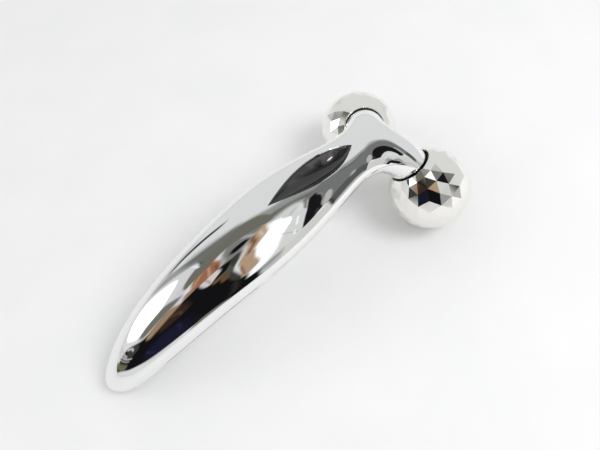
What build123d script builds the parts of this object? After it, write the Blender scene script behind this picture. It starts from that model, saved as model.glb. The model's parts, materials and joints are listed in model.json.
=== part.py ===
from build123d import *
import math
import os

# Facial toning roller: a plated Y-shaped handle that carries two faceted balls on tilted shafts.
# Millimetres and degrees. X runs across the handle, +Y from the tail to the balls, +Z up.
# The origin is on the resting surface, under the middle of the whole device.

# Balls and how they stand
ball_radius = 20.0
ball_spacing = 52.0             # between the two ball centres
shaft_splay = 36.3              # lean of each shaft away from the handle's mid plane
shaft_rake = 19.1               # lean of both shafts back towards the tail
facet_columns = 20
facet_row_angle = 14.8
mouth_radius = 10.0             # hole in the ball that the fork arm enters
lip_radius = 10.9               # outer edge of the flat rim round that hole
lip_round = 0.35
skin_thickness = 1.6
mouth_depth = 2.8               # from the rim down to the floor of the mouth

# Handle form
handle_length = 175.0           # from the tail tip to the line through the ball centres
tail_tip_height = 5.7
nose_half_height = 1.2          # small flat at the very tip of the tail
nose_half_width = 1.0
# distance from the tail tip, half width, height of the underside, height of the top
handle_stations = [
    (3.6, 6.3, 0.48, 11.0),
    (14.5, 11.9, 1.93, 20.8),
    (32.6, 15.6, 8.4, 32.4),
    (58.0, 18.3, 16.0, 42.4),
    (83.5, 20.1, 22.5, 48.2),
    (108.3, 19.5, 28.0, 52.0),
    (133.3, 15.3, 32.4, 52.9),
    (148.5, 12.0, 34.8, 52.0),
    (163.0, 9.6, 36.6, 49.8),
]
shell_wall = 2.2
parting_corner_round = 6.0      # where the parting line turns down the fork

# Fork: a bent tube whose ends look into the ball mouths
arm_radius = 8.9
arm_reach_into_ball = 1.1       # how far an arm end passes below the rim of the mouth
shoulder_distance = 24.5        # from the ball centre to the thick middle of an arm
shoulder_radius = 9.4
shoulder_set_back = 1.6
shoulder_drop = 0.6
bridge_radius = 8.1
bridge_set_back = 11.2          # bridge centre, behind the line through the ball centres
bridge_height = 43.2
fork_blend_radius = 6.0

# Window over the solar cell
window_length = 47.0
window_half_width = 6.1
window_widest = 4.5             # widest point, ahead of the middle of the window
window_tail_distance = 101.0    # from the tail tip to the tail end of the window
window_tail_flare = 0.36        # how fast the two ends of the outline open
window_head_flare = 0.85
rim_bevel = 0.7                 # extra opening of the bevelled rim at the surface
rim_bevel_depth = 2.0
lens_sink = 1.0
lens_thickness = 4.8
dish_depth = 3.6
gasket_thickness = 0.6
gasket_width = 1.4

# Electronics under the window
cell_length = 26.0
cell_width = 6.0
cell_thickness = 1.4
board_length = 38.0
board_width = 7.4
board_thickness = 1.0
board_screw_offset = 16.0
screw_head_radius = 1.7
screw_head_height = 1.0
screw_radius = 0.9
screw_length = 6.0
component_bay_length = 26.0
component_bay_width = 5.6
component_bay_depth = 3.0
rectifier_radius = 1.1
rectifier_length = 5.0
rectifier_offset = -8.0         # along the board, from its middle
capacitor_radius = 2.0
capacitor_height = 2.6
resistor_length = 3.2
resistor_width = 1.6
resistor_height = 0.7
resistor_offsets = (6.5, 10.5)
spring_width = 3.6
spring_thickness = 0.3
spring_contact_gap = 3.5        # from the window's tail end to the spring's contact point
spring_rise_length = 3.0
wire_radius = 0.5

# Inner frame
web_thickness = 2.4
rib_thickness = 1.8
rib_pitch = 13.0
rib_start = 20.0                # from the tail tip to the first rib

# Shaft, measured from the ball centre along the shaft, positive towards the handle
shaft_radius = 3.0
collar_radius = 4.6
collar_height = 1.6
seal_height = 2.2
shaft_far_end = -9.5
clamp_length = 8.0
washer_thickness = 0.7
washer_radius = 4.4
thread_radius = 2.0
nut_across_flats = 7.0
nut_height = 3.2
thread_spare = 1.0

# Bush, thrust washer and retaining ring
bush_radius = 4.7
bush_flange_radius = 6.4
bush_flange_height = 1.2
bush_far_end = -6.5
thrust_washer_height = 0.8
ring_radius = 5.0
ring_height = 0.7
ring_groove_depth = 0.6
ring_mouth_angle = 70.0

# Core and cap inside the ball
chamber_radius = 6.2
cap_radius = 9.0
cap_inner_height = -13.0
cap_wall = 1.8

# Clearances
running_clearance = 0.05
seat_clearance = 0.05
frame_clearance = 0.2
stack_clearance = 0.1
lens_clearance = 0.12

# Shaft direction, from the right-hand ball centre towards the handle
splay = math.radians(shaft_splay)
rake = math.radians(shaft_rake)
shaft_direction = Vector(
    -math.sin(splay),
    -math.sin(rake) * math.cos(splay),
    math.cos(rake) * math.cos(splay),
)

# Each ball rests on one facet: two corners on the row at rest_row, one on the row above it
down_angle = math.pi - math.acos(shaft_direction.Z)
row_angle = math.radians(facet_row_angle)
half_column = math.pi / facet_columns
rest_row = math.atan2(
    math.cos(down_angle) - math.cos(down_angle + row_angle),
    math.sin(down_angle + row_angle) - math.cos(half_column) * math.sin(down_angle),
)
ball_height = ball_radius * math.cos(down_angle - rest_row + row_angle)

# Places that follow from the sizes above
overall_length = handle_length + ball_radius
tail_y = -overall_length / 2
roller_y = tail_y + handle_length
ball_centre = Vector(ball_spacing / 2, roller_y, ball_height)
rim_height = math.sqrt(ball_radius**2 - lip_radius**2)
mouth_floor = rim_height - mouth_depth
arm_end = rim_height - arm_reach_into_ball
core_radius = ball_radius - skin_thickness - seat_clearance
collar_top = arm_end + seal_height
frame_end = collar_top
washer_start = frame_end + clamp_length
nut_start = washer_start + washer_thickness + stack_clearance
shaft_near_end = nut_start + nut_height + thread_spare
collar_start = collar_top - collar_height
bush_flange_top = mouth_floor + bush_flange_height
frame_inset = shell_wall + frame_clearance
window_middle = window_tail_distance + window_length / 2
spring_reach = window_length / 2 + spring_contact_gap

# Shaft frame of the right-hand ball: Z towards the handle, X on the ball's lowest side
shaft_plane = Plane(
    origin=ball_centre,
    x_dir=Vector(0, 0, -1) + shaft_direction * shaft_direction.Z,
    z_dir=shaft_direction,
)


def station_at(distance, column):
    """Value of one column of handle_stations at a distance from the tail tip."""
    for near, far in zip(handle_stations, handle_stations[1:]):
        if near[0] <= distance <= far[0]:
            share = (distance - near[0]) / (far[0] - near[0])
            return near[column] + share * (far[column] - near[column])
    return handle_stations[-1][column]


def top_height(distance):
    return station_at(distance, 3)


window_slope = math.atan2(
    top_height(window_tail_distance + window_length) - top_height(window_tail_distance),
    window_length,
)
window_height = (
    top_height(window_tail_distance + window_length) + top_height(window_tail_distance)
) / 2
# Window frame: Z out of the window, Y towards the balls, Z = 0 on the underside of the lens
window_plane = Plane(
    origin=(0, tail_y + window_middle, window_height - lens_sink - lens_thickness),
    x_dir=(1, 0, 0),
    z_dir=(0, -math.sin(window_slope), math.cos(window_slope)),
)
board_top = -gasket_thickness - cell_thickness - 2 * stack_clearance
board_bottom = board_top - board_thickness


# Small helpers

def on_shaft(shape):
    """Move a shape from the shaft frame to the right-hand ball."""
    return shaft_plane.location * shape


def on_window(shape):
    """Move a shape from the window frame into place."""
    return window_plane.location * shape


def cylinder_between(radius, low, high):
    return Pos(0, 0, low) * Cylinder(radius, high - low, align=(Align.CENTER, Align.CENTER, Align.MIN))


def ring_between(outer, inner, low, high):
    return cylinder_between(outer, low, high) - cylinder_between(inner, low - 1, high + 1)


def slab(length_x, length_y, low, high):
    middle = (low + high) / 2
    return Pos(0, 0, middle) * Box(length_x, length_y, high - low)


# Handle form

def cross_section(distance, middle_height, half_height, half_width):
    """Ellipse across the handle, with its seam on the underside."""
    section_plane = Plane(
        origin=(0, tail_y + distance, middle_height),
        x_dir=(0, 0, -1),
        z_dir=(0, 1, 0),
    )
    return section_plane * Ellipse(half_height, half_width)


def handle_body(inset):
    """Tail, grip and neck, with every surface moved inwards by the inset."""
    sections = [cross_section(inset, tail_tip_height, nose_half_height, nose_half_width)]
    for distance, half_width, underside, top in handle_stations:
        half_height = (top - underside) / 2 - inset
        sections.append(cross_section(distance, underside + half_height + inset, half_height, half_width - inset))
    return loft(sections)


def arm_sections(inset, side):
    """End circle and shoulder circle of one arm; side is 1 for right, -1 for left."""
    direction = Vector(side * shaft_direction.X, shaft_direction.Y, shaft_direction.Z)
    centre = Vector(side * ball_centre.X, ball_centre.Y, ball_centre.Z)
    end_plane = Plane(origin=centre + direction * arm_end, x_dir=(0, 1, 0), z_dir=direction * side)
    shoulder_plane = Plane(
        origin=centre + direction * shoulder_distance - Vector(0, shoulder_set_back, shoulder_drop),
        x_dir=(0, 1, 0),
        z_dir=direction * side,
    )
    return [end_plane * Circle(arm_radius - inset), shoulder_plane * Circle(shoulder_radius - inset)]


def fork(inset):
    """Bent tube from one arm end, over the bridge, to the other arm end."""
    bridge_plane = Plane(
        origin=(0, roller_y - bridge_set_back, bridge_height),
        x_dir=(0, 1, 0),
        z_dir=(-1, 0, 0),
    )
    right = arm_sections(inset, 1)
    left = arm_sections(inset, -1)
    return loft([*right, bridge_plane * Circle(bridge_radius - inset), *reversed(left)])


def handle_form(inset):
    return handle_body(inset) + fork(inset)


def handle_outside():
    """The outer form, with the neck blended into the fork."""
    body = handle_body(0)
    tube = fork(0)
    joined = body + tube
    return fillet(new_edges(body, tube, combined=joined), fork_blend_radius)


def parting_region(side):
    """All above (side 1) or below (side -1) the parting line, which turns down inside the fork arms."""
    rake_direction = Vector(shaft_direction.Y, shaft_direction.Z).normalized()
    flank = [(tail_y + row[0], (row[2] + row[3]) / 2) for row in handle_stations[:-1]]
    neck_end = flank[-1]
    corner_rise = (neck_end[1] - ball_height) / rake_direction.Y
    corner = (roller_y + corner_rise * rake_direction.X, neck_end[1])
    far_tail = (tail_y - 2 * tail_tip_height, tail_tip_height)
    foot = (roller_y, ball_height)
    front_y = roller_y + handle_length
    far_height = side * handle_length
    flank_line = Spline(far_tail, *flank)
    corner_line = FilletPolyline(neck_end, corner, foot, radius=parting_corner_round)
    closing_line = Polyline(
        foot, (front_y, ball_height), (front_y, far_height), (far_tail[0], far_height), far_tail
    )
    outline = make_face([flank_line, corner_line, closing_line])
    return extrude(Plane.YZ * outline, amount=ball_spacing, both=True)


# Window

def almond(margin):
    """Leaf-shaped outline of the window, drawn smaller by the margin."""
    half_length = window_length / 2 - margin / window_tail_flare
    half_width = window_half_width - margin
    right = Spline(
        (0, -half_length),
        (half_width, window_widest),
        (0, half_length),
        tangents=[(window_tail_flare, 1), (-window_head_flare, 1)],
    )
    return make_face([right, mirror(right, about=Plane.YZ)])


def window_cutter():
    """Opening through the shell, wider at the surface so that a bevelled rim is left."""
    surface = lens_thickness + lens_sink
    opening = extrude(almond(0), amount=2 * surface, both=True)
    bevel_height = rim_bevel_depth + window_half_width / 2
    bevel_top = almond(-rim_bevel * bevel_height / rim_bevel_depth)
    bevel = Pos(0, 0, surface - rim_bevel_depth) * loft([almond(0), Pos(0, 0, bevel_height) * bevel_top])
    return on_window(opening + bevel)


def window_lens():
    """Smoked plate with a dish that runs out at both ends; the dish is turned about a line above it."""
    plate = extrude(almond(lens_clearance), amount=lens_thickness)
    dish_radius = (window_half_width**2 + dish_depth**2) / (2 * dish_depth)
    end_radius = dish_radius - dish_depth
    profile = ThreePointArc(
        (end_radius, -window_length / 2), (dish_radius, window_widest), (end_radius, window_length / 2)
    )
    half_dish = make_face([profile, Polyline(profile @ 1, (0, window_length / 2), (0, -window_length / 2), profile @ 0)])
    dish = Pos(0, 0, lens_thickness + end_radius) * revolve(half_dish, Axis.Y)
    return on_window(plate - dish)


def window_gasket():
    ring = almond(lens_clearance) - almond(lens_clearance + gasket_width)
    return on_window(Pos(0, 0, -gasket_thickness) * extrude(ring, amount=gasket_thickness))


# Shells

def shells():
    wall = handle_outside() - handle_form(shell_wall)
    upper = wall - parting_region(-1) - window_cutter()
    lower = wall - parting_region(1)
    return upper, lower


# Electronics

def solar_cell():
    top = -gasket_thickness - stack_clearance
    return on_window(slab(cell_width, cell_length, top - cell_thickness, top))


def screw_places():
    return [Pos(0, side * board_screw_offset, 0) for side in (-1, 1)]


def circuit_board():
    board = slab(board_width, board_length, board_bottom, board_top)
    for place in screw_places():
        board -= place * cylinder_between(screw_radius + stack_clearance, board_bottom - 1, board_top + 1)
    return on_window(board)


def board_screws():
    seat = board_top + spring_thickness
    screws = []
    for place in screw_places():
        head = cylinder_between(screw_head_radius, seat, seat + screw_head_height)
        stem = cylinder_between(screw_radius, seat - screw_length, seat)
        screws.append(on_window(place * (head + stem)))
    return Compound(screws)


def board_components():
    """A rectifier, a capacitor and two resistors under the board."""
    rectifier = Cylinder(rectifier_radius, rectifier_length, rotation=(90, 0, 0))
    capacitor = cylinder_between(capacitor_radius, board_bottom - capacitor_height, board_bottom)
    resistor = slab(resistor_width, resistor_length, board_bottom - resistor_height, board_bottom)
    placed = [Pos(0, rectifier_offset, board_bottom - rectifier_radius) * rectifier, capacitor]
    placed += [Pos(0, offset, 0) * resistor for offset in resistor_offsets]
    return Compound([on_window(item) for item in placed])


def contact_spring():
    """Leaf under the tail screw of the board that reaches up to the plated shell."""
    contact_distance = window_middle - spring_reach
    shell_inside = top_height(contact_distance) - shell_wall
    contact_point = window_plane.to_local_coords(Vector(0, tail_y + contact_distance, shell_inside))
    foot_level = board_top + spring_thickness / 2
    foot_end = -board_screw_offset + screw_head_radius
    bend = spring_rise_length - spring_reach
    tip = spring_thickness * 3
    leaf_line = Polyline(
        (foot_end, foot_level),
        (bend, foot_level),
        (contact_point.Y, contact_point.Z - spring_thickness),
        (contact_point.Y - tip, contact_point.Z - spring_thickness - tip),
    )
    leaf = extrude(Plane.YZ * trace(leaf_line, spring_thickness), amount=spring_width / 2, both=True)
    hole = cylinder_between(screw_radius + stack_clearance, board_bottom, board_top + screw_length)
    return on_window(leaf - Pos(0, -board_screw_offset, 0) * hole)


def wire_path():
    """From the head end of the board to the nut on the right-hand shaft."""
    start = window_plane.from_local_coords(
        Vector(board_width / 4, board_length / 2 - wire_radius, board_bottom - wire_radius)
    )
    nut_level = nut_start + nut_height / 2
    nut_side = nut_across_flats / 2 + wire_radius + stack_clearance
    end = shaft_plane.from_local_coords(Vector(nut_side, 0, nut_level))
    bend = Vector(start.X, (2 * start.Y + end.Y) / 3, start.Z - 2 * wire_radius)
    return FilletPolyline(start, bend, end, radius=4 * wire_radius)


def wire_tube(radius):
    path = wire_path()
    section = Plane(origin=path @ 0, z_dir=path % 0) * Circle(radius)
    return sweep(section, path=path)


# Shaft and what is on it, in the shaft frame

def nut_blank(across_flats):
    return RegularPolygon(across_flats / 2, 6, major_radius=False, rotation=30)


def roller_shaft():
    collar = cylinder_between(collar_radius, collar_start, collar_top)
    stem = cylinder_between(shaft_radius, shaft_far_end, washer_start - stack_clearance)
    thread = cylinder_between(thread_radius, washer_start - stack_clearance, shaft_near_end)
    groove_top = bush_far_end - stack_clearance
    groove = ring_between(
        shaft_radius + 1,
        shaft_radius - ring_groove_depth,
        groove_top - ring_height - 2 * stack_clearance,
        groove_top,
    )
    tip_edges = (stem + collar + thread).edges().filter_by(GeomType.CIRCLE).sort_by(Axis.Z)
    shaft = chamfer([tip_edges[0], tip_edges[-1]], ring_groove_depth / 2)
    return on_shaft(shaft - groove)


def shaft_washer():
    return on_shaft(
        ring_between(
            washer_radius,
            thread_radius + seat_clearance,
            washer_start,
            washer_start + washer_thickness,
        )
    )


def shaft_nut():
    nut = Pos(0, 0, nut_start) * extrude(nut_blank(nut_across_flats), amount=nut_height)
    return on_shaft(nut - cylinder_between(thread_radius + seat_clearance, 0, shaft_near_end + 1))


def arm_seal():
    """Rubber ring that fills the end of the arm round the shaft's collar."""
    return on_shaft(
        ring_between(
            arm_radius - shell_wall - seat_clearance,
            collar_radius + seat_clearance,
            arm_end,
            frame_end - seat_clearance,
        )
    )


def thrust_washer():
    low = bush_flange_top + stack_clearance
    return on_shaft(
        ring_between(collar_radius, shaft_radius + running_clearance, low, low + thrust_washer_height)
    )


def retaining_ring():
    """Open ring snapped into the shaft's groove."""
    top = bush_far_end - 2 * stack_clearance
    ring = ring_between(ring_radius, shaft_radius - ring_groove_depth + seat_clearance, top - ring_height, top)
    half_angle = math.radians(ring_mouth_angle) / 2
    far = 2 * ring_radius
    mouth = make_face(
        Polyline((0, 0), (far, far * math.tan(half_angle)), (far, -far * math.tan(half_angle)), close=True)
    )
    return on_shaft(ring - extrude(mouth, amount=far, both=True))


def bearing_bush():
    flange = cylinder_between(bush_flange_radius, mouth_floor, bush_flange_top)
    barrel = cylinder_between(bush_radius, bush_far_end, mouth_floor)
    bore = cylinder_between(shaft_radius + running_clearance, bush_far_end - 1, bush_flange_top + 1)
    return on_shaft(flange + barrel - bore)


# Ball, in the shaft frame

def ball_point(radius, polar, column):
    azimuth = 2 * half_column * column
    return Vector(
        radius * math.sin(polar) * math.cos(azimuth),
        radius * math.sin(polar) * math.sin(azimuth),
        radius * math.cos(polar),
    )


def facet_rows():
    """Polar angles of the corner rows, from inside the mouth to near the far pole."""
    rows_above = math.ceil((rest_row - math.asin(mouth_radius / ball_radius)) / row_angle)
    rows_below = math.floor((math.pi - rest_row) / row_angle - 0.5)
    return [(count, rest_row + count * row_angle) for count in range(-rows_above, rows_below + 1)]


def faceted_ball(radius):
    """Solid with triangular facets; each row of corners is turned half a column from the last."""
    rows = []
    for count, polar in facet_rows():
        turn = 0.5 if count % 2 == 0 else 0.0
        rows.append([ball_point(radius, polar, column + turn) for column in range(facet_columns)])
    triangles = []
    for (count, _), upper, lower in zip(facet_rows(), rows, rows[1:]):
        step = 1 if count % 2 == 0 else 0
        for column in range(facet_columns):
            after = (column + 1) % facet_columns
            lower_tip = (column + step) % facet_columns
            lower_after = (lower_tip + 1) % facet_columns
            triangles.append((upper[column], upper[after], lower[lower_tip]))
            triangles.append((lower[lower_tip], lower[lower_after], upper[after]))
    far_pole = Vector(0, 0, -radius)
    for column in range(facet_columns):
        triangles.append((rows[-1][column], rows[-1][(column + 1) % facet_columns], far_pole))
    faces = [Face(Wire.make_polygon(corners)) for corners in (*triangles, rows[0])]
    return Solid(Shell(faces))


def ball_skin():
    ball = faceted_ball(ball_radius) - faceted_ball(ball_radius - skin_thickness)
    ball -= cylinder_between(mouth_radius, 0, 2 * ball_radius)
    ball -= cylinder_between(2 * ball_radius, rim_height, 2 * ball_radius)
    rim_edges = ball.edges().filter_by(GeomType.CIRCLE).sort_by(Axis.Z)
    return on_shaft(fillet(rim_edges[-1], lip_round))


def ball_core():
    core = faceted_ball(core_radius)
    core -= cylinder_between(mouth_radius, mouth_floor, 2 * ball_radius)
    core -= cylinder_between(bush_radius + seat_clearance, bush_far_end - 1, 2 * ball_radius)
    core -= cylinder_between(chamber_radius, -2 * ball_radius, bush_far_end)
    core -= cylinder_between(cap_radius + seat_clearance, -2 * ball_radius, cap_inner_height)
    return on_shaft(core)


def ball_cap():
    """Lid of the core: a faceted outer face and a short hollow skirt."""
    lid = faceted_ball(core_radius) & cylinder_between(cap_radius, -2 * ball_radius, cap_inner_height)
    hollow = cylinder_between(chamber_radius - cap_wall / 2, cap_inner_height - cap_wall, 0)
    return on_shaft(lid - hollow)


# Inner frame

def frame_ribs():
    """Web, floor and cross ribs of the grip, before they are trimmed to the inside of the shells."""
    grip_length = window_tail_distance - rib_start
    middle_y = tail_y + rib_start + grip_length / 2
    tall = 2 * handle_length
    ribs = Pos(0, middle_y, 0) * Box(web_thickness, grip_length, tall)
    count = int(grip_length // rib_pitch) + 1
    for number in range(count):
        distance = rib_start + rib_thickness / 2 + number * rib_pitch
        ribs += Pos(0, tail_y + distance, 0) * Box(tall, rib_thickness, tall)
    return ribs


def frame_head():
    """Solid block under the window, over a solid neck and fork."""
    block_start = tail_y + window_tail_distance - rib_pitch / 2
    block_length = roller_y + ball_radius - block_start
    low = window_plane.origin.Z - 4 * component_bay_depth
    block = Pos(0, block_start + block_length / 2, low + handle_length / 2) * Box(
        2 * ball_spacing, block_length, handle_length
    )
    neck_y = tail_y + handle_stations[-2][0]
    neck_length = roller_y + ball_radius - neck_y
    neck = Pos(0, neck_y + neck_length / 2, ball_height) * Box(2 * ball_spacing, neck_length, 2 * handle_length)
    return block + neck


def window_pockets():
    """Room for the window, the board, its components, the screws and the spring."""
    shelf = extrude(almond(-2 * stack_clearance), amount=4 * lens_thickness)
    shelf = Pos(0, 0, -gasket_thickness) * shelf
    board = slab(
        board_width + 2 * stack_clearance,
        board_length + 2 * stack_clearance,
        board_bottom,
        4 * lens_thickness,
    )
    bay = slab(component_bay_width, component_bay_length, board_bottom - component_bay_depth, 0)
    spring_length = spring_reach + 2 * rib_thickness
    spring = Pos(0, -spring_length / 2, 0) * slab(
        spring_width + 2 * stack_clearance,
        spring_length,
        board_top - stack_clearance,
        4 * lens_thickness,
    )
    pockets = shelf + board + bay + spring
    for place in screw_places():
        pockets += place * cylinder_between(
            screw_radius + seat_clearance, board_top - screw_length - 1, board_top
        )
    return on_window(pockets)


def shaft_pockets():
    """Bore, nut recess and collar recess in the right-hand arm, in place."""
    bore = cylinder_between(shaft_radius + seat_clearance, 0, shaft_near_end + 1)
    recess = cylinder_between(
        nut_across_flats / math.sqrt(3) + 4 * stack_clearance, washer_start, shaft_near_end + 1
    )
    arm_opening = cylinder_between(2 * arm_radius, 0, frame_end)
    return on_shaft(bore + recess + arm_opening)


def inner_frame():
    frame = handle_form(frame_inset) & (frame_ribs() + frame_head())
    frame -= window_pockets()
    right_cuts = [shaft_pockets(), wire_tube(wire_radius + stack_clearance)]
    for cut in right_cuts:
        frame -= cut
        frame -= cut.mirror(Plane.YZ)
    return frame


def main():
    upper, lower = shells()
    pieces = {
        "upper_shell": upper,
        "lower_shell": lower,
        "inner_frame": inner_frame(),
        "window_lens": window_lens(),
        "window_gasket": window_gasket(),
        "solar_cell": solar_cell(),
        "circuit_board": circuit_board(),
        "board_components": board_components(),
        "board_screws": board_screws(),
        "contact_spring": contact_spring(),
    }
    right_pieces = {
        "lead_wire": wire_tube(wire_radius),
        "roller_shaft": roller_shaft(),
        "shaft_washer": shaft_washer(),
        "shaft_nut": shaft_nut(),
        "arm_seal": arm_seal(),
        "thrust_washer": thrust_washer(),
        "retaining_ring": retaining_ring(),
        "bearing_bush": bearing_bush(),
        "ball_core": ball_core(),
        "ball_cap": ball_cap(),
        "ball_skin": ball_skin(),
    }
    for name, shape in right_pieces.items():
        pieces[name + "_right"] = shape
        pieces[name + "_left"] = shape.mirror(Plane.YZ)

    os.makedirs("parts", exist_ok=True)
    for name, shape in pieces.items():
        export_step(shape, "parts/" + name + ".step")


main()
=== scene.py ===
import bpy
import json
import math
import numpy as np
from mathutils import Matrix, Vector


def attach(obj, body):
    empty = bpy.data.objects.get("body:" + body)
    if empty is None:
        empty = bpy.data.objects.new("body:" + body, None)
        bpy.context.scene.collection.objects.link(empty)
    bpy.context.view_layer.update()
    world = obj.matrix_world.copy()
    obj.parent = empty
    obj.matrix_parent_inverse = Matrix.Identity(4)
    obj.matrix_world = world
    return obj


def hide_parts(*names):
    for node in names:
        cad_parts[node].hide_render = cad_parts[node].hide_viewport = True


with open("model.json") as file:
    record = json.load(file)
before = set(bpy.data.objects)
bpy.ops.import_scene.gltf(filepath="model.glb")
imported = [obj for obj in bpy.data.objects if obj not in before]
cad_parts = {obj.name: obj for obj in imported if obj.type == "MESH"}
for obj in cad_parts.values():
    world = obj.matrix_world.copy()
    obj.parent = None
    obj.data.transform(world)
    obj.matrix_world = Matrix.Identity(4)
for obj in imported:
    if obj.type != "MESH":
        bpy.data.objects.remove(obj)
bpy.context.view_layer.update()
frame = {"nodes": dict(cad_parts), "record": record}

# The camera stands where the photograph was taken from: its place in metres, and its own directions
camera_place = Vector((0.1207, -0.04946, 0.24128))
camera_right = Vector((0.61839, 0.77886, -0.10472))
camera_up = Vector((-0.63472, 0.57357, 0.51782))
camera_back = Vector((0.46338, -0.25375, 0.84905))
camera_lens_mm = 32.26
sensor_width_mm = 36.0
camera_clip_start = 0.01

# Floor, lamps (name, place, diameter, power) and world, in metres and watts
floor_half_size = 5.9
paper_grain = 0.05
paper_tones = ((0.875, 0.88, 0.88), (0.91, 0.91, 0.91))
paper_roughness = 0.9
lamps = (
    ("lamp_right", (0.456, 0.356, 0.689), 0.45, 3.0),
    ("lamp_left", (-0.60, -0.67, 0.55), 0.5, 1.0),
)
world_strength = 0.72

# Painted room that the plating reflects
dome_radius = 6.0
dome_step = 0.5  # degrees between the dome's colour points
dome_bottom = -3.0  # elevation of its lowest points, just below the floor
reflectivity = 0.90  # of the plating, which the painted colours allow for
sweep_colour = (214, 216, 216)  # of the paper sweep, where nothing else is painted

noise_low = 0.3  # range of Blender's noise that a mottle spreads over its two values
noise_high = 0.7
tiny = 1e-12  # keeps a division by a length safe


# ---------------- small helpers

def from_srgb(*channels):
    """Linear colour from the 0 to 255 values that a screen shows."""
    share = np.array(channels, float) / 255
    return np.where(share <= 0.04045, share / 12.92, ((share + 0.055) / 1.055) ** 2.4)


def new_material(name):
    material = bpy.data.materials.new(name)
    material.use_nodes = True
    tree = material.node_tree
    return material, tree, tree.nodes["Principled BSDF"]


def link(tree, source, target):
    tree.links.new(source, target)


def mottle(tree, grain, low, high):
    """Value from low to high that varies over patches of about the grain, in metres."""
    place = tree.nodes.new("ShaderNodeTexCoord")
    noise = tree.nodes.new("ShaderNodeTexNoise")
    noise.inputs["Scale"].default_value = 1 / grain
    noise.inputs["Detail"].default_value = 4
    span = tree.nodes.new("ShaderNodeMapRange")
    span.inputs["From Min"].default_value = noise_low
    span.inputs["From Max"].default_value = noise_high
    span.inputs["To Min"].default_value = low
    span.inputs["To Max"].default_value = high
    link(tree, place.outputs["Object"], noise.inputs["Vector"])
    link(tree, noise.outputs["Fac"], span.inputs["Value"])
    return span.outputs["Result"]


def toned(tree, shader, share, dark, light):
    """Base colour between two tones, by a share from 0 to 1."""
    tones = tree.nodes.new("ShaderNodeMix")
    tones.data_type = "RGBA"
    ends = {"A": dark, "B": light}
    for socket in tones.inputs:
        if socket.type == "RGBA" and socket.name in ends:
            socket.default_value = (*ends[socket.name], 1)
    result = next(socket for socket in tones.outputs if socket.type == "RGBA")
    link(tree, share, tones.inputs[0])
    link(tree, result, shader.inputs["Base Color"])


def tinted(tree, shader, grain, dark, light):
    """Base colour that varies between two tones over patches of about the grain."""
    toned(tree, shader, mottle(tree, grain, 0, 1), dark, light)


# ---------------- studio: camera, floor, dome, lamps

def add_camera():
    data = bpy.data.cameras.new("camera")
    data.lens = camera_lens_mm
    data.sensor_width = sensor_width_mm
    data.clip_start = camera_clip_start
    matrix = Matrix((camera_right, camera_up, camera_back)).transposed().to_4x4()
    matrix.translation = camera_place
    camera = bpy.data.objects.new("camera", data)
    camera.matrix_world = matrix
    bpy.context.scene.collection.objects.link(camera)
    bpy.context.scene.camera = camera


def between(before, here, after, later, t):
    """Point at the share t of the way from here to after, on a smooth curve through all four points."""
    return 0.5 * (2 * here + (after - before) * t
                  + (2 * before - 5 * here + 4 * after - later) * t**2
                  + (3 * here - before - 3 * after + later) * t**3)


def closed_curve(points, steps=8):
    """Smooth closed outline through given points."""
    here = np.array(points, float)
    before, after, later = (np.roll(here, shift, axis=0) for shift in (1, -1, -2))
    rows = [between(before, here, after, later, t) for t in np.arange(steps) / steps]
    return np.stack(rows, axis=1).reshape(-1, 2)


def open_curve(points, steps=8):
    """Smooth line through given points."""
    line = np.array([points[0], *points, points[-1]], float)
    rows = []
    for before, here, after, later in zip(line, line[1:], line[2:], line[3:]):
        for t in np.arange(steps) / steps:
            rows.append(between(before, here, after, later, t))
    rows.append(line[-1])
    return np.array(rows)


def distance_to_line(places, line):
    """Shortest distance from each place to a line of points."""
    best = np.full(len(places), np.inf)
    for start, end in zip(line, line[1:]):
        along = end - start
        squared_length = max(float(along @ along), tiny)
        share = np.clip((places - start) @ along / squared_length, 0, 1)
        gap = places - start - share[:, None] * along
        best = np.minimum(best, np.hypot(gap[:, 0], gap[:, 1]))
    return best


def inside(places, outline):
    """Which places lie within a closed outline."""
    found = np.zeros(len(places), bool)
    x, y = places[:, 0], places[:, 1]
    for (x0, y0), (x1, y1) in zip(outline, np.roll(outline, -1, axis=0)):
        crosses = (y0 > y) != (y1 > y)
        if y1 != y0:
            found ^= crosses & (x < (x1 - x0) * (y - y0) / (y1 - y0) + x0)
    return found


class RoomPainting:
    """Colours of the room round the object, by azimuth from +Y towards +X and elevation, in degrees."""

    def __init__(self, base):
        azimuths = np.arange(0, 360, dome_step)
        elevations = np.arange(dome_bottom, 90 + dome_step, dome_step)
        self.shape = (len(elevations), len(azimuths))
        grid = np.meshgrid(azimuths, elevations)
        self.places = np.stack([grid[0].ravel(), grid[1].ravel()], axis=1)
        self.colours = np.tile(from_srgb(*base), (len(self.places), 1))

    def lay(self, colour, soft, line, reach, depth_of):
        """Mix a colour in by depth inside a shape's edge, also across the seam at 0 degrees."""
        low, high = line.min(0) - reach, line.max(0) + reach
        for turn in (0, -360):
            places = self.places + (turn, 0)
            near = np.all((places >= low) & (places <= high), axis=1)
            share = np.zeros(len(places))
            if near.any():
                share[near] = np.clip(0.5 + depth_of(places[near]) / (2 * soft), 0, 1)
            share = (share * share * (3 - 2 * share))[:, None]
            self.colours = self.colours * (1 - share) + from_srgb(*colour) * share

    def patch(self, colour, soft, points):
        """Filled outline, whose edge fades over soft degrees each side."""
        outline = closed_curve(points)
        ring = np.vstack([outline, outline[:1]])

        def depth_of(places):
            depth = distance_to_line(places, ring)
            return np.where(inside(places, outline), depth, -depth)
        self.lay(colour, soft, outline, soft, depth_of)

    def streak(self, colour, width, soft, points):
        """Line of a width, whose edges fade over soft degrees each side."""
        line = open_curve(points)

        def depth_of(places):
            return width / 2 - distance_to_line(places, line)
        self.lay(colour, soft, line, width / 2 + soft, depth_of)


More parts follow.
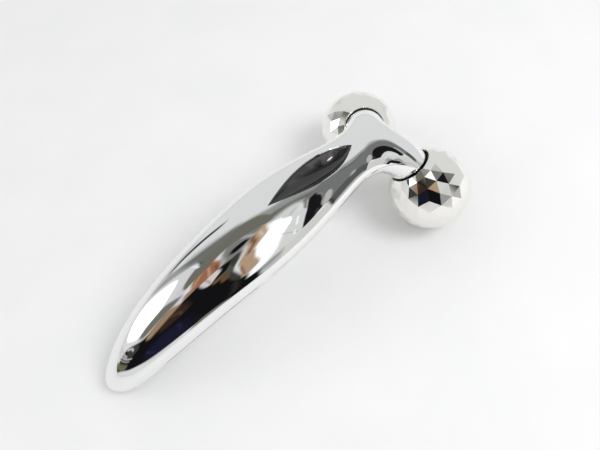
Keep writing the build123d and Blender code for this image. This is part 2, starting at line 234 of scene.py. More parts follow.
def paint_ceiling(room):
    """Pale ceiling with two darker bays."""
    room.patch((203, 206, 204), 3, [(-110, 80), (-40, 80), (30, 79), (90, 80), (92, 89.5), (-110, 89.5)])
    room.streak((176, 179, 178), 1.5, 2, [(30, 82), (50, 82.3), (72, 81), (92, 80)])
    room.patch((146, 147, 144), 3.5, [
        (-110, 42), (-103, 50), (-96, 60), (-88, 65), (-72, 67), (-42, 68), (-10, 66), (4, 59),
        (14, 53), (26, 48), (34, 44), (40, 60), (30, 74), (0, 80), (-30, 82), (-60, 83.5), (-100, 84),
        (-122, 80), (-120, 60)])
    room.patch((96, 97, 92), 3.5, [
        (-120, 74), (-108, 79), (-60, 81), (-20, 80.5), (0, 79), (20, 76), (32, 73), (34, 66), (24, 64),
        (10, 69), (-10, 76), (-60, 78), (-100, 73), (-112, 66), (-119, 64)])


def paint_wall_and_door(room):
    """Grey wall and black door beside the right-hand window."""
    room.patch((112, 114, 113), 2.2, [
        (0, 68), (12, 63), (25, 53), (34, 44), (41, 34), (46, 22), (49, 10), (60, 6), (61, 30),
        (60, 43), (57, 48), (53, 54), (48, 59), (42, 63), (35, 68), (26, 74), (10, 76)])
    room.patch((86, 88, 86), 2, [(45, 34), (50, 36), (56, 34), (60, 26), (60, 12), (52, 12), (48, 20)])
    room.patch((176, 178, 175), 2.5, [(48, 8), (53, 10), (60, 8), (60, -3), (48, -3)])
    room.streak((62, 62, 60), 1.6, 0.7, [(57, 39), (58.5, 32), (59.5, 20), (60, 8)])
    room.patch((178, 179, 176), 0.6, [
        (45, 54.5), (45.5, 55), (50, 53.5), (55, 48.5), (59.5, 42), (61, 34.5), (60.5, 34), (57, 35),
        (53, 42), (48.5, 48.5)])
    room.streak((64, 64, 64), 1.2, 0.7, [(13, 62), (20, 57.5), (28, 50.5), (34, 44), (39, 38)])
    room.patch((12, 12, 14), 1, [
        (37, 42), (41, 37), (44, 30), (46, 22), (48, 17), (48.5, 22), (47, 30), (44, 37), (40, 42)])
    room.streak((190, 198, 205), 1.0, 0.5, [(44, 40), (46, 37), (48, 33)])
    room.streak((112, 112, 112), 2.5, 1.5, [(18, 77.5), (35, 75), (50, 71.5), (60, 67)])
    room.patch((24, 23, 26), 0.8, [
        (25.5, 70.5), (26, 71.5), (32, 73.3), (45, 71), (55, 67.3), (62, 63), (68, 58), (72, 53),
        (76, 45), (78, 38), (78.5, 33.5), (68, 33.5), (62, 36), (60.5, 42), (58, 47.5), (53, 53),
        (48, 58), (42, 62.5), (35, 67.5)])
    room.patch((58, 54, 60), 0.7, [(62.5, 44), (64.5, 44), (68, 38), (68, 34.5), (65, 36)])


def paint_right_window(room):
    """Pale panel, and the right-hand window over it."""
    room.patch((203, 204, 200), 0.6, [
        (60.5, -3), (61, 10), (60.5, 25), (59.5, 31), (63, 34), (70, 32.8), (80, 33), (91, 31),
        (90, 20), (89.5, 8), (88, -3)])
    room.streak((222, 224, 222), 0.8, 0.4, [(61, 31), (68, 29.8), (78, 29.3), (90, 29.5)])
    room.patch((234, 234, 232), 0.8, [(60.5, 32), (63, 35), (68, 33.5), (66, 31.5)])
    room.patch((184, 184, 180), 0.8, [(90, -3), (90.5, 30), (93, 29), (96, 15), (97, -3)])
    room.patch((208, 210, 208), 1.2, [
        (69, 59), (63, 64), (57, 69), (60, 77), (76, 78), (88, 68), (97, 60), (99, 45), (99, 30),
        (90, 31), (79, 34), (79, 40), (77, 47), (73, 54)])
    room.patch((255, 255, 255), 2, [
        (72, 79), (80, 72), (90, 65), (95, 56), (96, 42), (98, 32), (101, 25), (104.5, 24), (105.5, 32),
        (108, 44), (113, 56), (119, 64), (126, 70), (136, 76), (146, 81.5), (165, 84), (190, 84.5),
        (220, 84), (226, 88), (150, 89.5), (100, 89), (80, 84)])
    room.streak((250, 250, 250), 2.2, 1.5, [(72, 67), (76, 63), (80, 56)])
    # painted highlight: the window's core, far brighter than white, so that its reflection burns out to
    # white
    room.patch((750, 750, 750), 1.5, [
        (79, 76), (86, 72), (94, 69), (104, 67.5), (112, 68), (118, 71), (124, 75.5), (112, 79),
        (94, 80)])
    room.streak((172, 177, 177), 0.8, 0.8, [(82, 38), (85, 46), (90, 56), (95, 62)])
    room.streak((250, 250, 250), 1.4, 0.8, [(83.5, 47), (84.5, 42), (84, 39)])
    room.patch((150, 152, 152), 2, [(91, 21), (95, 27), (99, 25), (101, 21), (99, 13), (95, 12)])


def paint_dark_side(room):
    """Dark room behind the camera, from the right-hand window round to the left-hand one."""
    room.patch((18, 17, 19), 1.2, [
        (96, -3), (97.5, 8), (99, 17), (101, 22), (104.5, 24), (106, 31), (109, 38), (114, 45),
        (120, 52), (130, 60), (145, 66), (156, 71), (172, 74), (184, 72), (186, 58), (189, 50),
        (192, 42), (190, 28), (197, 20), (203, 14), (206, 7), (200, 1.5), (190, 3), (180, 5),
        (165, 7.5), (145, 8.5), (130, 7.5), (118, 6), (108, 2), (104, -3)])
    room.streak((44, 40, 37), 2.5, 1.5, [(107, 12), (109, 25), (113, 37)])
    room.patch((27, 27, 47), 7, [
        (132, 26), (140, 33), (152, 34), (162, 28), (165, 17), (153, 10), (134, 9), (122, 12), (124, 19)])
    room.streak((36, 36, 62), 1.2, 1.2, [(134, 22), (139, 29), (147, 34)])
    room.streak((42, 44, 72), 1.0, 1.0, [(150, 15), (157, 17), (165, 20)])
    room.patch((52, 39, 33), 3, [
        (152, 47), (160, 51), (172, 52), (178, 48), (176, 36), (168, 34), (158, 40)])
    room.streak((84, 62, 46), 1.4, 1.2, [(156, 44), (164, 46), (173, 44)])
    room.patch((152, 126, 101), 1.5, [
        (178, 33), (178, 42), (180, 52), (183, 60), (192, 60), (191, 51), (191, 44), (190.5, 34),
        (187, 28), (181, 28)])
    room.streak((112, 88, 66), 2, 1.5, [(178, 30), (177, 40), (178, 50)])
    room.patch((126, 122, 115), 2, [(107, -3), (107, 4), (112, 8), (118, 7), (118, -3)])


def paint_arm_and_hand(room):
    """Arm and hand of whoever holds the camera."""
    room.patch((173, 147, 122), 1, [
        (105, 43), (108.5, 52), (113, 58), (118, 64), (124, 69.5), (130, 72), (137, 76), (144, 80),
        (152, 82.5), (166, 83.8), (185, 84), (205, 83.5), (225, 82), (240, 80), (240, 78), (222, 78),
        (200, 78), (180, 78), (163, 77), (148, 74), (140, 70.5), (133, 66), (127, 62), (121, 57),
        (117, 51), (113, 44), (110, 36), (107.5, 36)])
    room.streak((112, 84, 66), 1.4, 0.7, [
        (133, 71), (142, 74.5), (152, 77.5), (168, 79.5), (190, 79.5), (215, 78.5)])
    room.streak((206, 186, 168), 1.2, 0.8, [(150, 80), (165, 82), (190, 82), (220, 80.5)])
    room.streak((130, 105, 86), 1.2, 0.8, [(110, 40), (115, 50), (122, 59)])
    room.patch((60, 60, 54), 1.2, [
        (111, 37), (115, 46), (120, 53), (127, 59), (134, 64), (141, 69), (150, 73), (165, 76),
        (182, 77), (182, 73), (168, 72), (152, 69), (146, 63), (138, 59), (130, 56), (123, 51),
        (117, 44)])
    room.patch((78, 79, 70), 1.2, [(132, 62), (138, 66), (146, 69), (150, 67), (146, 63), (138, 60)])
    room.patch((98, 72, 46), 1, [(127, 56), (132, 60), (138, 62), (139, 60), (134, 56), (129, 53)])
    room.patch((104, 80, 54), 1, [(141, 60), (146, 64), (152, 66), (154, 62), (149, 60), (143, 58)])
    room.patch((22, 18, 17), 1, [
        (150, 63), (153, 68), (161, 71.5), (174, 73), (186, 73), (184, 70.5), (168, 69.5), (159, 66),
        (155, 61)])
    room.patch((204, 199, 198), 1, [
        (153, 60), (158, 65), (165, 68.5), (176, 69.5), (184, 68.5), (182, 62), (170, 60.5)])
    room.streak((150, 144, 144), 0.8, 0.6, [(156, 61.5), (166, 63.5), (180, 64)])
    room.patch((150, 102, 77), 1.5, [
        (181, 61), (183, 68), (190, 70.5), (203, 70.5), (214, 68.5), (222, 65), (230, 61), (222, 58),
        (205, 57), (190, 58)])
    room.streak((192, 150, 125), 1.0, 0.7, [(183, 66), (194, 66), (206, 65), (217, 63)])
    room.streak((116, 74, 55), 1.2, 0.7, [(185, 69), (196, 69), (208, 67.5)])
    room.streak((176, 140, 108), 1.6, 1, [(192, 59), (206, 60), (220, 60)])


def paint_left_window(room):
    """Grey wall and bright window on the left, with what stands on its sill."""
    room.patch((122, 122, 118), 1.5, [
        (182, 71), (196, 71.5), (212, 69.5), (228, 66), (240, 64), (243, 72), (238, 78), (220, 78),
        (200, 78), (184, 77)])
    room.patch((106, 106, 97), 1.5, [
        (208, 56), (216, 61), (228, 63), (240, 66), (241, 75), (246, 80), (256, 80), (262, 74),
        (262, 64), (258, 54), (254, 44), (251, 35), (248, 34), (245, 41), (240, 47), (236, 49),
        (228, 49), (214, 50), (205, 53)])
    room.patch((20, 17, 18), 1, [(200, 75), (208, 77), (218, 77), (226, 74), (221, 71.5), (208, 72.5)])
    room.streak((174, 174, 172), 1.5, 1, [(222, 77), (230, 75), (238, 70)])
    room.patch((200, 199, 208), 1.5, [
        (182, 51), (190, 53.5), (203, 53), (212, 50), (224, 48.5), (234, 48.5), (240, 45), (240, 41),
        (225, 39), (205, 41), (194, 46)])
    room.patch((208, 208, 208), 2, [
        (203, 24), (205, 36), (209, 44), (218, 48), (230, 48), (238, 44), (241, 34), (241, 20),
        (240, 5), (238, -3), (224, -3), (218, 5), (210, 14)])
    # painted highlight: the left window's core, brighter than white, so that its reflection burns out to
    # white
    room.patch((360, 360, 360), 2, [
        (203, 22), (205, 31), (209, 36), (218, 38.5), (229, 38), (235, 34), (237, 24), (237, 12),
        (235, 5), (228, 4), (218, 7), (210, 14)])
    room.streak((70, 70, 72), 1.0, 0.5, [(237, 51), (241, 46), (245, 40), (248, 33)])
    room.streak((235, 238, 238), 1.2, 0.8, [(233, 51.5), (238, 46), (242, 39)])
    room.patch((112, 111, 103), 2, [
        (192, 28), (192, 38), (193, 48), (198, 52), (203, 48), (208, 42), (208.5, 37), (206.5, 31),
        (204.5, 26), (201, 22.5), (195, 24)])
    room.patch((104, 103, 80), 1.5, [
        (184, 9), (190, 8), (198, 5), (206, 1), (200, -2), (190, 2), (184, 5)])
    room.patch((60, 60, 56), 1.5, [(186, 20), (191, 22), (197, 19), (202, 13), (196, 11), (189, 12)])
    room.streak((215, 215, 218), 1.0, 0.8, [(193, 17), (198, 16), (203, 12)])
    room.streak((200, 196, 196), 0.8, 0.5, [(185, 14), (194, 10.5), (205, 6), (216, 0)])
    room.streak((160, 156, 160), 0.8, 0.5, [(186, 11.5), (196, 8), (208, 3)])
    room.streak((60, 56, 50), 1.2, 0.7, [(192, 2), (202, -1), (212, -5)])
    room.streak((196, 194, 186), 1.0, 0.6, [(196, 11), (208, 6.5), (222, -2)])
    room.patch((190, 191, 190), 3, [(242, 8), (248, 10), (256, 8), (262, 3), (258, -3), (242, -3)])
    room.patch((152, 153, 152), 2, [
        (242, 42), (247, 40), (249, 32), (249, 20), (248, 10), (242, 6), (241.5, 24)])
    room.patch((188, 190, 188), 3, [(250, 44), (254, 50), (258, 46), (256, 34), (252, 22), (249, 28)])
    room.patch((108, 109, 104), 3, [
        (241, 48), (243, 40), (245.5, 30), (248, 23), (250, 29), (252.5, 36), (255, 42), (258, 50),
        (250, 54)])
    room.patch((44, 44, 50), 1.2, [
        (249, 8), (254.5, 12.5), (259, 19), (261.5, 24), (263, 25.3), (264, 24), (262.3, 17),
        (259, 9.5), (254.5, 6)])


def paint_room():
    """White paper sweep, a bright window each side, a dark room behind, and what moves in front of it."""
    room = RoomPainting(sweep_colour)
    paint_ceiling(room)
    paint_wall_and_door(room)
    paint_right_window(room)
    paint_dark_side(room)
    paint_arm_and_hand(room)
    paint_left_window(room)
    return room


def add_dome():
    """Painted dome that only reflections see."""
    room = paint_room()
    rows, columns = room.shape
    azimuth, elevation = np.radians(room.places[:, 0]), np.radians(room.places[:, 1])
    places = np.stack([
        dome_radius * np.cos(elevation) * np.sin(azimuth),
        dome_radius * np.cos(elevation) * np.cos(azimuth),
        dome_radius * np.sin(elevation),
    ], axis=1)
    here = np.arange(rows * columns).reshape(rows, columns)[:-1]
    beside = np.roll(here, -1, axis=1)
    faces = np.stack([here, beside, beside + columns, here + columns], axis=-1).reshape(-1, 4)
    mesh = bpy.data.meshes.new("studio_dome")
    mesh.from_pydata(places.tolist(), [], faces.tolist())
    paint = mesh.color_attributes.new("room", "FLOAT_COLOR", "POINT")
    colours = np.hstack([room.colours / reflectivity, np.ones((len(places), 1))])
    paint.data.foreach_set("color", colours.astype(np.float32).ravel())
    dome = bpy.data.objects.new("studio_dome", mesh)
    bpy.context.scene.collection.objects.link(dome)
    material = bpy.data.materials.new("studio_dome")
    material.use_nodes = True
    tree = material.node_tree
    tree.nodes.clear()
    colour = tree.nodes.new("ShaderNodeVertexColor")
    colour.layer_name = "room"
    # the dome glows in its painted colours: painted reflections, seen only by glossy and transmission rays
    emission = tree.nodes.new("ShaderNodeEmission")
    output = tree.nodes.new("ShaderNodeOutputMaterial")
    link(tree, colour.outputs["Color"], emission.inputs["Color"])
    link(tree, emission.outputs["Emission"], output.inputs["Surface"])
    mesh.materials.append(material)
    dome.visible_camera = False
    dome.visible_diffuse = False
    dome.visible_shadow = False


def add_floor():
    mesh = bpy.data.meshes.new("floor")
    reach = floor_half_size
    corners = [(-reach, -reach, 0), (reach, -reach, 0), (reach, reach, 0), (-reach, reach, 0)]
    mesh.from_pydata(corners, [], [(0, 1, 2, 3)])
    floor = bpy.data.objects.new("floor", mesh)
    bpy.context.scene.collection.objects.link(floor)
    material, tree, shader = new_material("floor_paper")
    tinted(tree, shader, paper_grain, *paper_tones)
    shader.inputs["Roughness"].default_value = paper_roughness
    shader.inputs["Specular IOR Level"].default_value = 0.0
    mesh.materials.append(material)


def add_lamp(name, place, size, power):
    """Round lamp that points at the origin."""
    data = bpy.data.lights.new(name, "AREA")
    data.shape = "DISK"
    data.size = size
    data.energy = power
    lamp = bpy.data.objects.new(name, data)
    lamp.location = place
    lamp.rotation_euler = (-Vector(place)).to_track_quat("-Z", "Y").to_euler()
    lamp.visible_glossy = False
    bpy.context.scene.collection.objects.link(lamp)


def add_world():
    world = bpy.data.worlds.new("world")
    world.use_nodes = True
    background = world.node_tree.nodes["Background"]
    background.inputs["Color"].default_value = (1, 1, 1, 1)
    background.inputs["Strength"].default_value = world_strength
    bpy.context.scene.world = world


# ---------------- handle form, in millimetres

millimetre = 0.001
handle_length = 175.0  # from the tail tip to the line through the ball centres
ball_radius = 20.0
overall_length = handle_length + ball_radius
tail_y = -overall_length / 2
roller_y = tail_y + handle_length
ball_spacing = 52.0
ball_height = 19.78
shaft_direction = np.array((-0.59201, -0.26371, 0.76156))  # of the right-hand ball, towards the handle
ball_centre = np.array((ball_spacing / 2, roller_y, ball_height))

# Rows of the body: distance from the tail tip, half width, underside, top
body_rows = np.array([
    (-6.0, 5.3, 1.1, 8.8),
    (3.6, 8.3, -0.95, 12.7),
    (14.5, 11.9, 2.0, 20.8),
    (32.6, 15.6, 8.4, 32.4),
    (58.0, 18.3, 16.0, 42.4),
    (83.5, 20.1, 22.5, 48.2),
    (108.3, 19.5, 28.0, 51.97),
    (133.3, 15.3, 32.4, 52.6),
    (148.5, 12.8, 34.8, 51.7),
    (163.0, 12.0, 36.6, 49.8),
    (175.0, 8.6, 38.0, 48.0),
])
tail_round = 14.5  # length over which the tail closes
head_round = 14.0  # and over which the head closes
head_end = 166.0
fork_starts_y = 25.0  # nothing of the fork lies nearer to the tail

arm_end = 15.67  # cut end of an arm, from the ball centre
arm_reach = 8.0  # how far an arm's line runs on past its cut end
arm_radius = 8.9
shoulder_distance = 24.5
shoulder_radius = 9.4
shoulder_shift = np.array((0.0, -1.6, -0.6))
bridge_place = np.array((0.0, roller_y - 11.2, 43.2))
bridge_radius = 8.1
blend_least = 6.0  # where body and fork run alongside
blend_most = 23.0  # where they meet at a right angle
blend_fade = 14.0  # from an arm's cut end to where its blend is full

# Search for the nearest point of the fork's middle line: samples, then rounds of Newton's method
fork_samples = 60
fork_rounds = 4
least_curve = 0.2
longest_move = 2

# Mesh of the handle
net_step = 1.3
net_half_width = 42.5 * net_step  # so that the mid plane runs through the middle of a column of cells
net_low = (-net_half_width, tail_y - 5 * net_step, -4 * net_step)
net_high = (net_half_width, roller_y + 10 * net_step, 60.0)
settle_share = 0.6  # of the way to its neighbours' middle that a vertex moves in each round
least_gradient = 1e-6  # keeps a division by a field's gradient safe
shell_wall = 2.0
edge_gap = 0.03  # between an edge of a shell and the line that it was cut along
edge_bevel = 0.14  # along the line between the shells
arm_bevel = 0.5  # round the cut end of an arm
least_mitre = 0.08  # keeps a sharp corner of an edge from reaching too far
cut_snap = 0.3  # vertices as near as this to a cut move onto it
rim_snap = 0.2  # vertices as near as this to a cut belong to its rim


def smooth_row(knots, values):
    """Natural cubic spline through a row of values: gives value, slope and bend at any knot place."""
    knots, values = np.array(knots, float), np.array(values, float)
    gap = np.diff(knots)
    system = np.eye(len(knots))
    wanted = np.zeros(values.shape)
    for i in range(1, len(knots) - 1):
        system[i, i - 1:i + 2] = gap[i - 1], 2 * (gap[i - 1] + gap[i]), gap[i]
        wanted[i] = 6 * ((values[i + 1] - values[i]) / gap[i] - (values[i] - values[i - 1]) / gap[i - 1])
    bend = np.linalg.solve(system, wanted)

    def at(places):
        places = np.clip(places, knots[0], knots[-1])
        span = np.clip(np.searchsorted(knots, places) - 1, 0, len(gap) - 1)
        wide = gap[span]
        right = (places - knots[span]) / wide
        if values.ndim > 1:
            wide, right = wide[:, None], right[:, None]
        left = 1 - right
        value = (left * values[span] + right * values[span + 1]
                 + ((left**3 - left) * bend[span] + (right**3 - right) * bend[span + 1]) * wide**2 / 6)
        slope = ((values[span + 1] - values[span]) / wide
                 + ((3 * right**2 - 1) * bend[span + 1] - (3 * left**2 - 1) * bend[span]) * wide / 6)
        return value, slope, left * bend[span] + right * bend[span + 1]
    return at


body_line = smooth_row(body_rows[:, 0], np.stack([
    body_rows[:, 1],
    (body_rows[:, 2] + body_rows[:, 3]) / 2,
    (body_rows[:, 3] - body_rows[:, 2]) / 2,
], axis=1))
arm_line_points = np.array([
    ball_centre + shaft_direction * (arm_end - arm_reach),
    ball_centre + shaft_direction * arm_end,
    ball_centre + shaft_direction * shoulder_distance + shoulder_shift,
    bridge_place,
])
mirror_x = np.array((-1.0, 1.0, 1.0))
fork_points = np.vstack([arm_line_points, arm_line_points[-2::-1] * mirror_x])
fork_knots = np.concatenate([[0], np.cumsum(np.linalg.norm(np.diff(fork_points, axis=0), axis=1))])
fork_middle = fork_knots[len(arm_line_points) - 1]
arm_line_radii = [arm_radius, arm_radius, shoulder_radius, bridge_radius]
fork_radii = np.array(arm_line_radii + arm_line_radii[-2::-1])
fork_line = smooth_row(fork_knots, np.hstack([fork_points, fork_radii[:, None]]))


def body_level(places):
    """Zero on the body's surface and negative inside it: ellipses along a curved middle."""
    distance = places[:, 1] - tail_y
    (half_width, middle, half_height), _, _ = (part.T for part in body_line(distance))
    tail = np.clip(1 - distance / tail_round, 0, None)
    head = np.clip(1 - (head_end - distance) / head_round, 0, None)
    return np.sqrt((places[:, 0] / half_width)**2 + ((places[:, 2] - middle) / half_height)**2
                   + tail**3 + head**3) - 1


def slope_of(field, places, step=0.02):
    """Gradient of a field by central differences."""
    slopes = []
    for axis in np.eye(3):
        slopes.append((field(places + axis * step) - field(places - axis * step)) / (2 * step))
    return np.stack(slopes, axis=1)


def length_of(vectors):
    return np.linalg.norm(vectors, axis=1)


def body_field(places):
    """Distance to the body's surface and its direction."""
    slope = slope_of(body_level, places)
    steep = np.maximum(length_of(slope), least_gradient)
    return body_level(places) / steep, slope / steep[:, None]


def fork_field(places):
    """Distance to the fork's bent tube and its direction; x is mirrored, so one arm does for both."""
    right = places * np.where(places[:, :1] < 0, mirror_x, 1)
    samples = np.linspace(0, fork_middle, fork_samples)
    spots = fork_line(samples)[0][:, :3]
    nearest = samples[np.argmin(((right[:, None] - spots)**2).sum(2), axis=1)]
    for _ in range(fork_rounds):
        spot, slope, bend = (part[:, :3] for part in fork_line(nearest))
        off = spot - right
        curve = np.maximum((slope * slope).sum(1) + (off * bend).sum(1), least_curve)
        move = np.clip((off * slope).sum(1) / curve, -longest_move, longest_move)
        nearest = np.clip(nearest - move, 0, fork_middle)
    found = fork_line(nearest)[0]
    off = right - found[:, :3]
    reach = np.maximum(length_of(off), least_gradient)
    direction = off / reach[:, None] * np.where(places[:, :1] < 0, mirror_x, 1)
    return reach - found[:, 3], direction


def handle_field(places):
    """Distance to the handle: body and fork, blended most where they meet at an angle."""
    body, body_out = body_field(places)
    near = places[:, 1] > fork_starts_y
    if near.any():
        fork, fork_out = fork_field(places[near])
        turn = np.clip(1 - (body_out[near] * fork_out).sum(1), 0, 1)
        fade = np.clip(arm_value(places[near]) / blend_fade, 0, 1)
        blend = blend_least + (blend_most - blend_least) * turn * fade
        overlap = np.clip(1 - np.abs(body[near] - fork) / blend, 0, None)
        body[near] = np.minimum(body[near], fork) - overlap**3 * blend / 6
    return body


def in_chunks(field, places, size=20000):
    """Values of a field at many places, worked out in parts to save memory."""
    return np.concatenate([field(places[i:i + size]) for i in range(0, len(places), size)])


def surface_net(field, low, high, step):
    """Quads about the zero surface of a field, one vertex in each grid cell that it crosses."""
    axes = [np.arange(a, b + step, step) for a, b in zip(low, high)]
    grid = np.stack(np.meshgrid(*axes, indexing="ij"), axis=-1)
    inside = (in_chunks(field, grid.reshape(-1, 3)) < 0).reshape(grid.shape[:3])
    cells = inside[:-1, :-1, :-1].astype(int)
    for corner in np.ndindex(2, 2, 2):
        if any(corner):
            part = tuple(slice(c, None if c else -1) for c in corner)
            cells = cells + inside[part]
    mixed = (cells > 0) & (cells < 8)
    number = np.full(cells.shape, -1)
    number[mixed] = np.arange(mixed.sum())
    vertices = grid[:-1, :-1, :-1][mixed] + step / 2
    quads = []
    for axis in range(3):
        first = np.take(inside, range(0, inside.shape[axis] - 1), axis)
        second = np.take(inside, range(1, inside.shape[axis]), axis)
        for enters, order in ((second & ~first, (3, 2, 1, 0)), (first & ~second, (0, 1, 2, 3))):
            spots = np.argwhere(enters)
            beside, above = (axis + 1) % 3, (axis + 2) % 3
            ring = []
            for shift_beside, shift_above in ((-1, -1), (0, -1), (0, 0), (-1, 0)):
                cell = spots.copy()
                cell[:, beside] += shift_beside
                cell[:, above] += shift_above
                ring.append(number[tuple(cell.T)])
            quads.append(np.stack(ring, axis=1)[:, order])
    return vertices, np.vstack(quads)


def unit(vectors):
    return vectors / np.maximum(length_of(vectors), tiny)[:, None]


def onto_surface(places, rounds=3):
    """Bring points onto the handle's surface; also gives the outward direction there."""
    for _ in range(rounds):
        slope = in_chunks(lambda part: slope_of(handle_field, part), places)
        level = in_chunks(handle_field, places)
        places = places - slope * (level / np.maximum((slope * slope).sum(1), least_gradient))[:, None]
    return places, unit(in_chunks(lambda part: slope_of(handle_field, part), places))


def settle(vertices, quads, rounds=5):
    """Even the vertices out over the surface."""
    edges = np.vstack([quads[:, [a, (a + 1) % 4]] for a in range(4)])
    count = np.bincount(edges[:, 0], minlength=len(vertices))
    for _ in range(rounds):
        vertices, outward = onto_surface(vertices, 1)
        middle = np.stack([
            np.bincount(edges[:, 0], vertices[edges[:, 1], axis], len(vertices)) for axis in range(3)
        ], axis=1) / count[:, None]
        move = middle - vertices
        move -= outward * (move * outward).sum(1)[:, None]
        vertices = vertices + settle_share * move
    return onto_surface(vertices)[0]


def to_triangles(vertices, quads):
    """Halve each quad along its shorter diagonal."""
    first = length_of(vertices[quads[:, 0]] - vertices[quads[:, 2]])
    second = length_of(vertices[quads[:, 1]] - vertices[quads[:, 3]])
    order = np.where((first < second)[:, None], (0, 1, 2, 3), (1, 2, 3, 0))
    turned = np.take_along_axis(quads, order, axis=1)
    return np.vstack([turned[:, [0, 1, 2]], turned[:, [0, 2, 3]]])


def cut(vertices, faces, value_of):
    """Cut triangles along the zero line of a value; gives the mesh and each face's side of the line."""
    vertices = vertices.copy()
    value = value_of(vertices)
    close = np.abs(value) < cut_snap
    slope = slope_of(value_of, vertices[close])
    vertices[close] -= slope * (value[close] / np.maximum((slope * slope).sum(1), least_gradient))[:, None]
    value[close] = 0
    side = list(np.sign(value))
    crosses = (value[faces].min(1) < 0) & (value[faces].max(1) > 0)
    added, places, pieces = {}, list(vertices), []

    def crossing(a, b):
        a, b = min(a, b), max(a, b)
        if (a, b) not in added:
            share = value[a] / (value[a] - value[b])
            added[a, b] = len(places)
            places.append(vertices[a] * (1 - share) + vertices[b] * share)
            side.append(0.0)
        return added[a, b]

    for face in faces[crosses].tolist():
        ring = []
        for a, b in zip(face, face[1:] + face[:1]):
            ring.append(a)
            if side[a] * side[b] < 0:
                ring.append(crossing(a, b))
        for sign in (-1, 1):
            part = [corner for corner in ring if side[corner] * sign >= 0]
            pieces.extend((part[0], b, c) for b, c in zip(part[1:], part[2:]))
    faces = np.vstack([faces[~crosses], np.array(pieces, int).reshape(-1, 3)])
    face_side = np.array(side)[faces].sum(1)
    return np.array(places), faces, face_side


def kept(vertices, faces):
    """Drop the vertices that no face uses."""
    used, numbers = np.unique(faces, return_inverse=True)
    return vertices[used], numbers.reshape(-1, 3)


def turned_in(vertices, faces, outward, steps_for):
    """Closed shell: the skin, its edges turned in by steps of (back, down), and an inner skin."""
    count = len(vertices)
    edges = np.vstack([faces[:, [a, (a + 1) % 3]] for a in range(3)])
    is_rim = ~np.isin(edges[:, 0] * count + edges[:, 1], edges[:, 1] * count + edges[:, 0])
    start, end = edges[is_rim].T
    inward = unit(np.cross(outward[start] + outward[end], vertices[end] - vertices[start]))
    pull = np.zeros((count, 3))
    np.add.at(pull, start, inward / 2)
    np.add.at(pull, end, inward / 2)
    on_rim = np.zeros(count, bool)
    on_rim[start] = True
    pull[on_rim] /= np.maximum((pull[on_rim]**2).sum(1), least_mitre)[:, None]
    steps = steps_for(vertices)
    rings = [vertices + pull * steps[:, k, :1] - outward * steps[:, k, 1:] for k in range(steps.shape[1])]
    places, pieces = [np.where(on_rim[:, None], rings[0], vertices)], [faces]
    last = np.arange(count)
    for ring in rings[1:]:
        here = last.copy()
        here[on_rim] = sum(map(len, places)) + np.arange(on_rim.sum())
        pieces.append(np.stack([last[end], last[start], here[start]], axis=1))
        pieces.append(np.stack([last[end], here[start], here[end]], axis=1))
        places.append(ring[on_rim])
        last = here
    inner = last.copy()
    inner[~on_rim] = sum(map(len, places)) + np.arange((~on_rim).sum())
    places.append((vertices - outward * shell_wall)[~on_rim])
    pieces.append(inner[faces][:, ::-1])
    return np.vstack(places), np.vstack(pieces)


def add_piece(name, vertices, faces, normals=None):
    """Mesh object from millimetres; the first faces may be given the outward direction of their corners."""
    mesh = bpy.data.meshes.new(name)
    mesh.from_pydata((np.array(vertices) * millimetre).tolist(), [], [list(face) for face in faces])
    piece = bpy.data.objects.new(name, mesh)
    bpy.context.scene.collection.objects.link(piece)
    if normals is not None:
        mesh.polygons.foreach_set("use_smooth", np.ones(len(mesh.polygons), bool))
        flat = np.array([polygon.normal[:] for polygon in mesh.polygons])
        corners = np.repeat(flat, 3, axis=0)
        corners[:len(normals)] = normals
        mesh.normals_split_custom_set(corners.tolist())
    return piece


# ---------------- window opening, arm ends and parting line

window_length = 47.0
window_half_width = 6.45
window_widest = 4.5  # widest point, ahead of the middle of the window
window_tail_distance = 101.0  # from the tail tip to the tail end of the window
window_tail_flare = 0.36  # half width gained for each millimetre from the tail end
window_head_flare = 0.85  # and from the head end
window_depth = 8.0  # deeper than this below the window, its outline cuts nothing
outline_steps = 40  # from each end of the outline to its widest point
far_outside = 10.0
rim_bevel = 0.3
lens_sink = 0.2

parting_tail_height = 4.6
parting_run_on = 14.0  # of the parting line, behind the tail
parting_bend = ((-5, 0), (-1.5, -1.2))  # its points before the corner where it turns down the arms
parting_drop = (5.5, 15)  # its points down the arms, from that corner
parting_foot = 20  # its end, past the ball centres
clear_ahead = 60  # of the rollers
clear_above = 200

window_ends = np.array((window_tail_distance, window_tail_distance + window_length))
window_tops = np.interp(window_ends, body_rows[:, 0], body_rows[:, 3])
window_middle = np.array((0, tail_y + window_ends.mean(), window_tops.mean() - lens_sink))
window_slope = math.atan2(window_tops[1] - window_tops[0], window_length)
window_along = np.array((0, math.cos(window_slope), math.sin(window_slope)))
window_out = np.array((0, -math.sin(window_slope), math.cos(window_slope)))


def hermite_outline():
    """Half width of the window against the place along it, from tail end to head end."""
    knots = np.array([(0, -window_length / 2), (window_half_width, window_widest), (0, window_length / 2)])
    slopes = np.array([(window_tail_flare, 1), (0, 1), (-window_head_flare, 1)])
    rows = []
    for first, last, leave, reach in zip(knots, knots[1:], slopes, slopes[1:]):
        size = last[1] - first[1]
        for t in np.arange(outline_steps) / outline_steps:
            rows.append((2 * t**3 - 3 * t**2 + 1) * first + (t**3 - 2 * t**2 + t) * size * leave
                        + (3 * t**2 - 2 * t**3) * last + (t**3 - t**2) * size * reach)
    rows.append(knots[-1])
    return np.array(rows)


window_outline = hermite_outline()


def window_half_width_at(along):
    """Half width of the opening, which runs on as a negative number past both ends."""
    inside_width = np.interp(along, window_outline[:, 1], window_outline[:, 0])
    before = (-window_length / 2 - along) * window_tail_flare
    after = (along - window_length / 2) * window_head_flare
    return np.where(before > 0, -before, np.where(after > 0, -after, inside_width))


def window_value(places):
    """Positive outside the window's outline, bevel included; far below it, always positive."""
    off = places - window_middle
    along = off @ window_along
    value = np.abs(off[:, 0]) - window_half_width_at(along) - rim_bevel
    return np.where(off @ window_out < -window_depth, far_outside, value)


